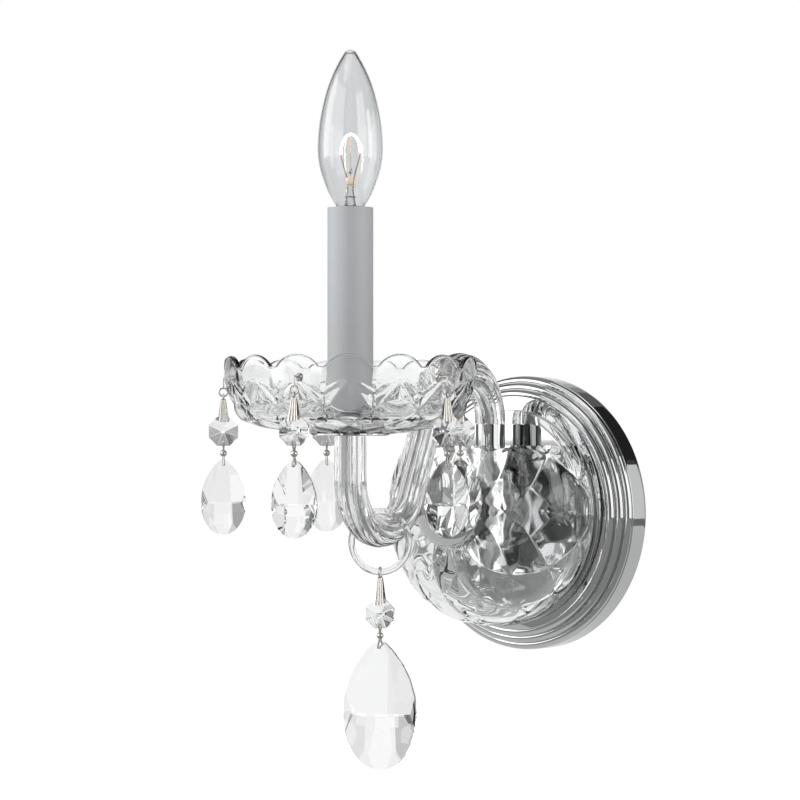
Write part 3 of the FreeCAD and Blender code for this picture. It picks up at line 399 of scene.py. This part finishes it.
def makeWallPlate():
    s = plateSizes
    route = [(s["radius"] - s["wall"], 0.0), (s["radius"] - 0.35, 0.0), (s["radius"], -0.35, 0.1, 3),
             (s["radius"], -s["band"] + 0.5, 0, 6), (s["radius"] - 0.35, -s["band"] - 0.15, 0.14, 4)]
    radius = s["radius"]
    level = s["band"]
    for ring in range(3):
        radius -= s["ringWidth"]
        level += s["ringRise"]
        route.append((radius + 0.25, -level + 0.05, s["bulge"], 12))
        route.append((radius, -level, -0.05, 2))
    route += [(s["boss"] + 0.3, -level), (s["boss"], -level - 0.3, -0.08, 3),
              (s["boss"], -s["bossOut"] + 0.5), (s["boss"] - 0.5, -s["bossOut"], 0.14, 4),
              (s["hole"], -s["bossOut"], 0, 10), (s["hole"], -s["bossOut"] + s["wall"]),
              (s["boss"] - s["wall"], -s["bossOut"] + s["wall"], 0, 10),
              (s["boss"] - s["wall"], -level + s["wall"])]
    back = []
    radius = s["radius"] - s["wall"]
    level = s["band"] - s["wall"]
    for ring in range(3):
        radius -= s["ringWidth"]
        level += s["ringRise"]
        back.append((radius, -level))
    back.reverse()
    back.append((s["radius"] - s["wall"], -s["band"] + s["wall"]))
    route.append(back[0])
    route += [spot + (-s["backBulge"], 6) for spot in back[1:]]
    piece = spunPiece("chromeWallPlate", arcPoints(route), (0, 0, 0), "Y", s["steps"])
    return finishPiece(piece, chrome, "frame", ["wall_plate"])


makeWallPlate()


def rowFinder(chain, lengths):
    # nearest profile point to a vertex, as its distance along the profile
    tree = KDTree(len(chain))
    for index, point in enumerate(chain):
        tree.insert((point[0], point[1], 0), index)
    tree.balance()
    return lambda radius, height: lengths[tree.find((radius, height, 0))[1]]


def lengthsOf(chain, first, last):
    # distance from the first corner, and None outside the patterned stretch
    lengths = [None] * len(chain)
    total = 0.0
    for index in range(first, last + 1):
        if index > first:
            total += hypot(chain[index][0] - chain[index - 1][0], chain[index][1] - chain[index - 1][1])
        lengths[index] = total
    return lengths


# ---- wall bowl: pressed glass on its side, with crossing V cuts, star cuts and a plain scalloped band
bowlSizes = {"radius": 59.3, "wall": 3.4, "depth": 46.0, "lift": 1.8, "rim": 20.0, "hole": 3.2,
             "topCut": 34.7, "front": 19.7, "steps": 384, "cells": 12, "bandNear": 11.0, "bandFar": 18.0,
             "starAt": 32.0, "cellHalf": 9.0, "cutDepth": 0.6, "starReach": 9.0, "starWidth": 3.4}


def bowlDepth(angle, along, radius):
    s = bowlSizes
    pitch = 360.0 / s["cells"]
    offset = nearest(angle, pitch)
    share = offset / (pitch / 2)
    edge = s["bandNear"] + (s["bandFar"] - s["bandNear"]) * (1 - sqrt(max(0.0, 1 - share * share)))
    if along < edge - 1.2:
        return 0.0
    ledge = 0.85 * groove(along - edge, 2.6)
    if along < edge:
        return ledge
    depth = ledge
    perDegree = pi * radius / 180
    slope = sqrt(1 / (perDegree * perDegree) + 1)
    for side in (1, -1):
        line = nearest(angle + side * (along - s["starAt"]), pitch) / slope
        depth = max(depth, pillow(line, s["cellHalf"]))
    centre = nearest(angle, pitch) * perDegree
    rise = along - s["starAt"]
    reach = hypot(centre, rise)
    if reach < s["starReach"]:
        width = s["starWidth"] * (1 - reach / s["starReach"]) + 0.3
        depth = max(depth, 0.9 * groove(centre, width), 0.9 * groove(rise, width))
    return min(1.0, depth)


def makeWallBowl():
    s = bowlSizes
    radius, depth, wall, rim = s["radius"], s["depth"], s["wall"], s["rim"]
    shoulder = depth * 0.905
    belly = radius * 0.987
    route = [(belly - 0.6, -rim), (belly, -rim - 0.6, 0.2, 4), (belly, -rim - depth * 0.40, 0.8, 26),
             (radius * 0.77, -rim - shoulder, 4.6, 38), (s["front"], -rim - depth, 1.2, 36),
             (s["hole"], -rim - depth, 0, 6), (s["hole"], -rim - depth + wall, 0, 2),
             (s["front"], -rim - depth + wall, 0, 4),
             (radius * 0.77 - wall * 0.5, -rim - shoulder + wall * 0.9, -1.2, 8),
             (belly - wall, -rim - depth * 0.40, -3.8, 8), (belly - wall, -rim - 0.8, -0.8, 5),
             (belly - wall + 0.6, -rim, 0.25, 4)]
    chain = arcPoints(route)
    piece = spunPiece("pressedWallBowl", chain, (0, 0, s["lift"]), "Y", s["steps"])
    along = rowFinder(chain, lengthsOf(chain, 4, 4 + 26 + 38 + 36))
    depths = []
    for vertex in piece.data.vertices:
        x, y, z = vertex.co / mm
        across = hypot(x, z - s["lift"])
        place = along(across, y)
        depths.append(0.0 if place is None else
                      bowlDepth(degrees(atan2(z - s["lift"], x)), place, max(across, 1.0)))
    press(piece, depths, s["cutDepth"])
    clearSelection()
    bpy.context.view_layer.objects.active = piece
    piece.select_set(True)
    bpy.ops.object.mode_set(mode="EDIT")
    bpy.ops.mesh.select_all(action="SELECT")
    bpy.ops.mesh.bisect(plane_co=(0, 0, s["topCut"] * mm), plane_no=(0, 0, 1), use_fill=True,
                        clear_outer=True)
    bpy.ops.mesh.select_all(action="SELECT")
    bpy.ops.mesh.normals_make_consistent(inside=False)
    bpy.ops.object.mode_set(mode="OBJECT")
    return finishPiece(piece, pressedGlass, "frame", ["wall_bowl"], 28)


makeWallBowl()

# ---- drip dish: scalloped rim, plain band and pressed leaf cuts
dishSizes = {"x": 12.716, "y": -158.986, "radius": 60.2, "wall": 3.2, "floor": 40.3, "floorTop": 44.3,
             "rise": 36.7, "top": 77.0, "scallops": 15, "scallopRise": 5.7, "chord": 22.0, "turn": 17.0,
             "hole": 8.95, "columns": 420, "bend": 56.0, "band": 11.5, "cellHalf": 6.5, "lean": 0.8,
             "leafAt": 27.0, "leafReach": 9.0, "leafWidth": 4.0, "cutDepth": 0.9}


def dishDepth(angle, along, radius):
    s = dishSizes
    pitch = 360.0 / s["scallops"]
    offset = nearest(angle, pitch)
    perDegree = pi * radius / 180
    share = offset / (pitch / 2)
    edge = s["band"] + 4.5 * share * share
    if along < edge - 1.0 or radius < 22.0:
        return 0.0
    depth = 0.75 * groove(along - edge, 2.4)
    if along < edge:
        return depth
    slope = sqrt(1 / (perDegree * perDegree) + 1)
    for side in (1, -1):
        line = nearest(angle + side * s["lean"] * (along - s["band"]), pitch) / slope
        depth = max(depth, pillow(line, s["cellHalf"]))
    centre = nearest(angle + pitch / 2, pitch) * perDegree
    leaf = 1 - abs(along - s["leafAt"]) / s["leafReach"]
    if leaf > 0:
        depth = max(depth, 0.9 * groove(centre, s["leafWidth"] * leaf + 0.3))
    return min(1.0, depth)


def makeDripDish():
    s = dishSizes
    radius, wall, rise, foot = s["radius"], s["wall"], s["rise"], s["floor"]
    route = [(s["hole"], foot), (radius * 0.33, foot, 0, 8), (radius * 0.60, foot + rise * 0.055, -0.3, 20),
             (radius * 0.80, foot + rise * 0.14, -0.5, 16), (radius * 0.93, foot + rise * 0.38, -2.2, 18),
             (radius, s["top"] - 1.2, -1.3, 34), (radius - wall * 0.42, s["top"], -0.55, 6),
             (radius - wall * 0.85, s["top"] - 1.2, -0.55, 6),
             (radius * 0.93 - wall, foot + rise * 0.38 + wall * 0.3, 1.3, 14),
             (radius * 0.80 - wall * 0.6, foot + rise * 0.14 + wall * 0.9, 1.8, 8),
             (radius * 0.45, s["floorTop"], 1.0, 8), (s["hole"], s["floorTop"], 0, 5)]
    chain = arcPoints(route)
    piece = spunPiece("scallopedDripDish", chain, (s["x"], s["y"], 0), "Z", s["columns"])
    last = 8 + 20 + 16 + 18 + 34
    lengths = lengthsOf(chain, 0, last)
    total = lengths[last]
    along = rowFinder(chain, [None if here is None else total - here for here in lengths])
    half = s["chord"] / 2
    curve = (half * half + s["scallopRise"] ** 2) / (2 * s["scallopRise"])
    depths = []
    drops = []
    for vertex in piece.data.vertices:
        x, y, z = vertex.co / mm
        across = hypot(x - s["x"], y - s["y"])
        angle = degrees(atan2(x - s["x"], -(y - s["y"]))) - s["turn"]
        place = along(across, z)
        depths.append(0.0 if place is None else dishDepth(angle, place, max(across, 1.0)))
        side = abs(nearest(angle, 360.0 / s["scallops"])) * pi * s["radius"] / 180
        fall = curve - sqrt(curve * curve - side * side) if side < half else s["scallopRise"]
        fall = min(fall, s["scallopRise"])
        drops.append(fall / s["scallopRise"] * max(0.0, (z - s["bend"]) / (s["top"] - s["bend"])))
    press(piece, depths, s["cutDepth"])
    press(piece, drops, s["scallopRise"], "Z")
    return finishPiece(piece, pressedGlass, "frame", ["glass_dish"], 28)


makeDripDish()

# ---- lamp details inside the glass: warm mount with a painted glow, copper collar, bead and support wire
lampSizes = {"x": 12.716, "y": -158.986, "collarAt": 153.6, "collarRadius": 2.45, "collarWire": 0.28,
             "mountAt": 161.2, "mountRadius": 2.2, "beadAt": 166.0, "beadRadius": 1.1, "wireRadius": 0.16,
             "wireTop": 183.2}


def makeLampDetails():
    s = lampSizes
    spot = Vector((s["x"], s["y"], 0)) * mm

    def settle(name, material):
        piece = bpy.context.object
        piece.name = name
        piece.data.name = name
        bpy.ops.object.transform_apply(location=True, rotation=True, scale=True)
        finishPiece(piece, material, "lamp", [], 40)

    clearSelection()
    bpy.ops.mesh.primitive_torus_add(location=spot + Vector((0, 0, s["collarAt"] * mm)), major_segments=36,
                                     minor_segments=12, major_radius=s["collarRadius"] * mm,
                                     minor_radius=s["collarWire"] * mm)
    settle("copperCollar", copperLead)
    clearSelection()
    bpy.ops.mesh.primitive_uv_sphere_add(segments=32, ring_count=20, radius=s["mountRadius"] * mm,
                                         location=spot + Vector((0, 0, s["mountAt"] * mm)))
    settle("paintedGlowMount", paintedGlowMount)
    clearSelection()
    bpy.ops.mesh.primitive_uv_sphere_add(segments=20, ring_count=14, radius=s["beadRadius"] * mm,
                                         location=spot + Vector((0, 0, s["beadAt"] * mm)))
    bpy.ops.object.mode_set(mode="EDIT")
    bpy.ops.mesh.select_all(action="SELECT")
    bpy.ops.transform.resize(value=(0.8, 0.8, 1.5), center_override=spot + Vector((0, 0, s["beadAt"] * mm)))
    bpy.ops.object.mode_set(mode="OBJECT")
    settle("anchorBead", steel)
    clearSelection()
    low = s["mountAt"] + s["mountRadius"] - 0.3
    bpy.ops.mesh.primitive_cylinder_add(vertices=12, radius=s["wireRadius"] * mm,
                                        depth=(s["wireTop"] - low) * mm,
                                        location=spot + Vector((0, 0, (s["wireTop"] + low) / 2 * mm)))
    settle("supportWire", copperLead)


makeLampDetails()

# ---- fluted leaves over the clips' flat ones
fluteSizes = {"stringLength": 10.78, "ringLength": 13.18, "topHalf": 1.15, "footHalf": 2.35, "topOut": 0.66,
              "footOut": 2.76, "flutes": 3, "fluteDepth": 0.42, "wall": 0.16, "columns": 36, "rows": 8}


def makeFlutes(name, node, body, length):
    s = fluteSizes
    points = [node.matrix_world @ vertex.co / mm for vertex in node.data.vertices]
    high = max(point.z for point in points)
    low = min(point.z for point in points)
    eye = [point for point in points if point.z > high - 2.0]
    centre = sum(eye, Vector()) / len(eye)
    spreadX = sum((point.x - centre.x) ** 2 for point in eye)
    spreadY = sum((point.y - centre.y) ** 2 for point in eye)
    spreadXY = sum((point.x - centre.x) * (point.y - centre.y) for point in eye)
    facing = 0.5 * atan2(2 * spreadXY, spreadX - spreadY) - pi / 2
    clearSelection()
    bpy.ops.mesh.primitive_grid_add(x_subdivisions=s["columns"], y_subdivisions=s["rows"], size=mm)
    piece = bpy.context.object
    piece.name = name
    piece.data.name = name
    for vertex in piece.data.vertices:
        across, up = vertex.co.x / mm, vertex.co.y / mm + 0.5
        half = s["footHalf"] + (s["topHalf"] - s["footHalf"]) * up
        out = s["footOut"] + (s["topOut"] - s["footOut"]) * up
        ridge = abs(sin(pi * s["flutes"] * (across + 0.5))) * s["fluteDepth"] * (1 - 0.4 * up)
        vertex.co = Vector((across * 2 * half, -(out + ridge), length * up)) * mm
    modifier = piece.modifiers.new("thick", "SOLIDIFY")
    modifier.thickness = s["wall"] * mm
    modifier.offset = 1.0
    bpy.ops.object.modifier_apply(modifier=modifier.name)
    bpy.ops.object.mode_set(mode="EDIT")
    bpy.ops.mesh.select_all(action="SELECT")
    bpy.ops.mesh.duplicate()
    bpy.ops.transform.rotate(value=pi, orient_axis="Z", center_override=(0, 0, 0))
    bpy.ops.mesh.select_all(action="SELECT")
    bpy.ops.transform.rotate(value=-facing, orient_axis="Z", center_override=(0, 0, 0))
    bpy.ops.transform.translate(value=Vector((centre.x, centre.y, low)) * mm)
    bpy.ops.mesh.normals_make_consistent(inside=False)
    bpy.ops.object.mode_set(mode="OBJECT")
    finishPiece(piece, pinMetal, body, [], 60)


for number in range(1, 6):
    makeFlutes("clipFlutes%d" % number, nodes["clip_%d" % number], "string_%d" % number,
               fluteSizes["stringLength"])
makeFlutes("ringClipFlutes", nodes["ring_clip"], "ring_string", fluteSizes["ringLength"])

# ---- stage: pale floor, soft lights, and the photograph's camera
stageSizes = {"floorDrop": 60.0, "cardDrop": 40.0, "azimuth": 41.0, "cameraSpot": (1002.3, -1261.2, 34.5),
              "lens": 139.4, "lift": 0.0575, "soft": 0.46, "floorSize": 12.0, "floorGlow": 1.12,
              "floorShare": 0.85}
# the studio shell: rows are (from, to, half height, tone inside, tone outside), in degrees round from
# the camera; backTones are (angle from the line of sight, tone) behind the object
shellSizes = {"radius": 3.0, "middle": (0, -0.1, 0.04), "zero": 49.0, "backTones":
              ((18, 0.93), (24, 0.8), (29, 0.6), (34, 0.38)), "lowest": -20, "highest": 46, "other": 0.16,
              "key": (-75, -26, -16, 44, 1.9, 0.3),
              "rows": ((-26, -14, 90, 0.03, 0.03), (-14, 12, 90, 0.30, 0.30), (12, 27, 90, 0.04, 0.04),
                       (27, 62, 38, 1.9, 0.18), (62, 67, 90, 0.06, 0.06), (67, 82, 26, 3.2, 0.06),
                       (82, 84, 90, 0.06, 0.06), (84, 112, 22, 1.1, 0.08), (112, 146, 20, 0.5, 0.02),
                       (-100, -75, 60, 0.82, 0.2), (-122, -100, 30, 0.6, 0.08))}


def makeWorld():
    world = bpy.data.worlds.new("studio")
    bpy.context.scene.world = world
    world.use_nodes = True
    tree = world.node_tree
    tree.nodes.clear()
    output = tree.nodes.new("ShaderNodeOutputWorld")
    mix = tree.nodes.new("ShaderNodeMixShader")
    soft = tree.nodes.new("ShaderNodeBackground")
    white = tree.nodes.new("ShaderNodeBackground")
    soft.inputs["Color"].default_value = (0.96, 0.98, 1, 1)
    soft.inputs["Strength"].default_value = stageSizes["soft"]
    white.inputs["Strength"].default_value = 1.0
    white.inputs["Color"].default_value = grey(1.0)
    path = tree.nodes.new("ShaderNodeLightPath")
    first = tree.nodes.new("ShaderNodeMath")
    first.operation = "MAXIMUM"
    second = tree.nodes.new("ShaderNodeMath")
    second.operation = "MAXIMUM"
    tree.links.new(path.outputs["Is Camera Ray"], first.inputs[0])
    tree.links.new(path.outputs["Is Glossy Ray"], first.inputs[1])
    tree.links.new(first.outputs[0], second.inputs[0])
    tree.links.new(path.outputs["Is Transmission Ray"], second.inputs[1])
    tree.links.new(second.outputs[0], mix.inputs[0])
    tree.links.new(soft.outputs[0], mix.inputs[1])
    tree.links.new(white.outputs[0], mix.inputs[2])
    tree.links.new(mix.outputs[0], output.inputs[0])


def makeFloor(low):
    clearSelection()
    bpy.ops.mesh.primitive_plane_add(size=stageSizes["floorSize"],
                                     location=(0, 0, low - stageSizes["floorDrop"] * mm))
    floor = bpy.context.object
    floor.name = "paleFloor"
    paint = Paint("paleFloor")
    paint.set(colour=grey(0.9), rough=0.6)
    tree = paint.tree
    path = tree.nodes.new("ShaderNodeLightPath")
    geometry = tree.nodes.new("ShaderNodeNewGeometry")
    glow = tree.nodes.new("ShaderNodeEmission")
    glow.inputs["Strength"].default_value = stageSizes["floorGlow"]
    clear = tree.nodes.new("ShaderNodeBsdfTransparent")
    seen = Wire(paint, path.outputs["Is Camera Ray"]).highest(Wire(paint, path.outputs["Is Glossy Ray"]))
    seen = seen.highest(Wire(paint, path.outputs["Is Transmission Ray"])) * stageSizes["floorShare"]
    lit = tree.nodes.new("ShaderNodeMixShader")
    tree.links.new(seen.socket, lit.inputs[0])
    tree.links.new(paint.shader.outputs[0], lit.inputs[1])
    tree.links.new(glow.outputs[0], lit.inputs[2])
    both = tree.nodes.new("ShaderNodeMixShader")
    tree.links.new(geometry.outputs["Backfacing"], both.inputs[0])
    tree.links.new(lit.outputs[0], both.inputs[1])
    tree.links.new(clear.outputs[0], both.inputs[2])
    tree.links.new(both.outputs[0], tree.nodes["Material Output"].inputs[0])
    floor.data.materials.append(paint.material)


def lowTone(around, rise):
    if -80 < around < -20 and rise > -50:
        return 0.8
    if rise < -62:
        return 0.86 if abs(around) > 95 else 0.4
    return 0.5 if int((around + 180) / 20) % 2 else 0.22


def highTone(around, rise):
    if abs(around + 40) < 14 and rise < 62:
        return 1.9
    return 0.40 if around < 60 else 0.04


def studioTone(around, rise):
    # around: 0 faces the camera, 90 is the picture's right; rise: above the level, both in degrees
    s = shellSizes
    behind = degrees(acos(max(-1, min(1, -cos(radians(around)) * cos(radians(rise))))))
    for limit, tone in s["backTones"]:
        if behind < limit:
            return tone
    if rise > s["highest"]:
        return highTone(around, rise)
    if rise < s["lowest"]:
        return lowTone(around, rise)
    left, right, bottom, top, lit, dim = s["key"]
    if left < around < right:
        return lit if bottom < rise < top else dim
    for low, high, limit, inside, outside in s["rows"]:
        if low <= around < high:
            return inside if abs(rise) < limit else outside
    return s["other"]


def makeStudioShell():
    # dark flags and pale cards all round, as a studio has: only gloss and glass show them
    clearSelection()
    bpy.ops.mesh.primitive_uv_sphere_add(segments=90, ring_count=45, radius=shellSizes["radius"],
                                         location=shellSizes["middle"])
    shell = bpy.context.object
    shell.name = "studioShell"
    tones = {}
    for face in shell.data.polygons:
        x, y, z = face.center
        around = degrees(atan2(y, x)) + shellSizes["zero"]
        around = (around + 180) % 360 - 180
        level = round(studioTone(around, degrees(asin(z / face.center.length))), 3)
        if level not in tones:
            paint = Paint("tone%03d" % round(level * 100))
            paint.set(colour=grey(0), rough=1.0, glow=grey(1.0), glowPower=level)
            tones[level] = len(tones)
            shell.data.materials.append(paint.material)
        face.material_index = tones[level]
    ground = cadBox[0].z - stageSizes["cardDrop"] * mm
    for vertex in shell.data.vertices:
        vertex.co.z = max(vertex.co.z, ground - shell.location.z)
    hideCard(shell)


def hideCard(card):
    card.visible_camera = False
    card.visible_diffuse = False
    card.visible_shadow = False


def makeLamp(name, spot, target, width, height, power):
    clearSelection()
    bpy.ops.object.light_add(type="AREA", location=spot)
    lamp = bpy.context.object
    lamp.name = name
    lamp.data.shape = "RECTANGLE"
    lamp.data.size = width
    lamp.data.size_y = height
    lamp.data.energy = power
    aim = Vector(target) - Vector(spot)
    lamp.rotation_euler = aim.to_track_quat("-Z", "Y").to_euler()
    lamp.visible_camera = False


def makeCamera():
    clearSelection()
    bpy.ops.object.camera_add(location=Vector(stageSizes["cameraSpot"]) * mm,
                              rotation=(pi / 2, 0, radians(stageSizes["azimuth"])))
    camera = bpy.context.object
    camera.name = "viewCamera"
    camera.data.lens = stageSizes["lens"]
    camera.data.sensor_width = 36.0
    camera.data.shift_y = stageSizes["lift"]
    bpy.context.scene.camera = camera


makeWorld()
makeStudioShell()
makeFloor(cadBox[0].z)
middle = (0, -0.1, 0.05)
makeLamp("leftSoftbox", (-1.4, -1.2, 0.7), middle, 1.0, 1.4, 11.0)
makeLamp("rightSoftbox", (1.7, -0.3, 0.8), middle, 0.8, 1.4, 1.2)
makeLamp("topSoftbox", (0.0, -0.5, 1.6), middle, 1.2, 1.2, 5.0)
makeCamera()
bpy.context.scene.view_settings.view_transform = "Standard"
print("stage made")
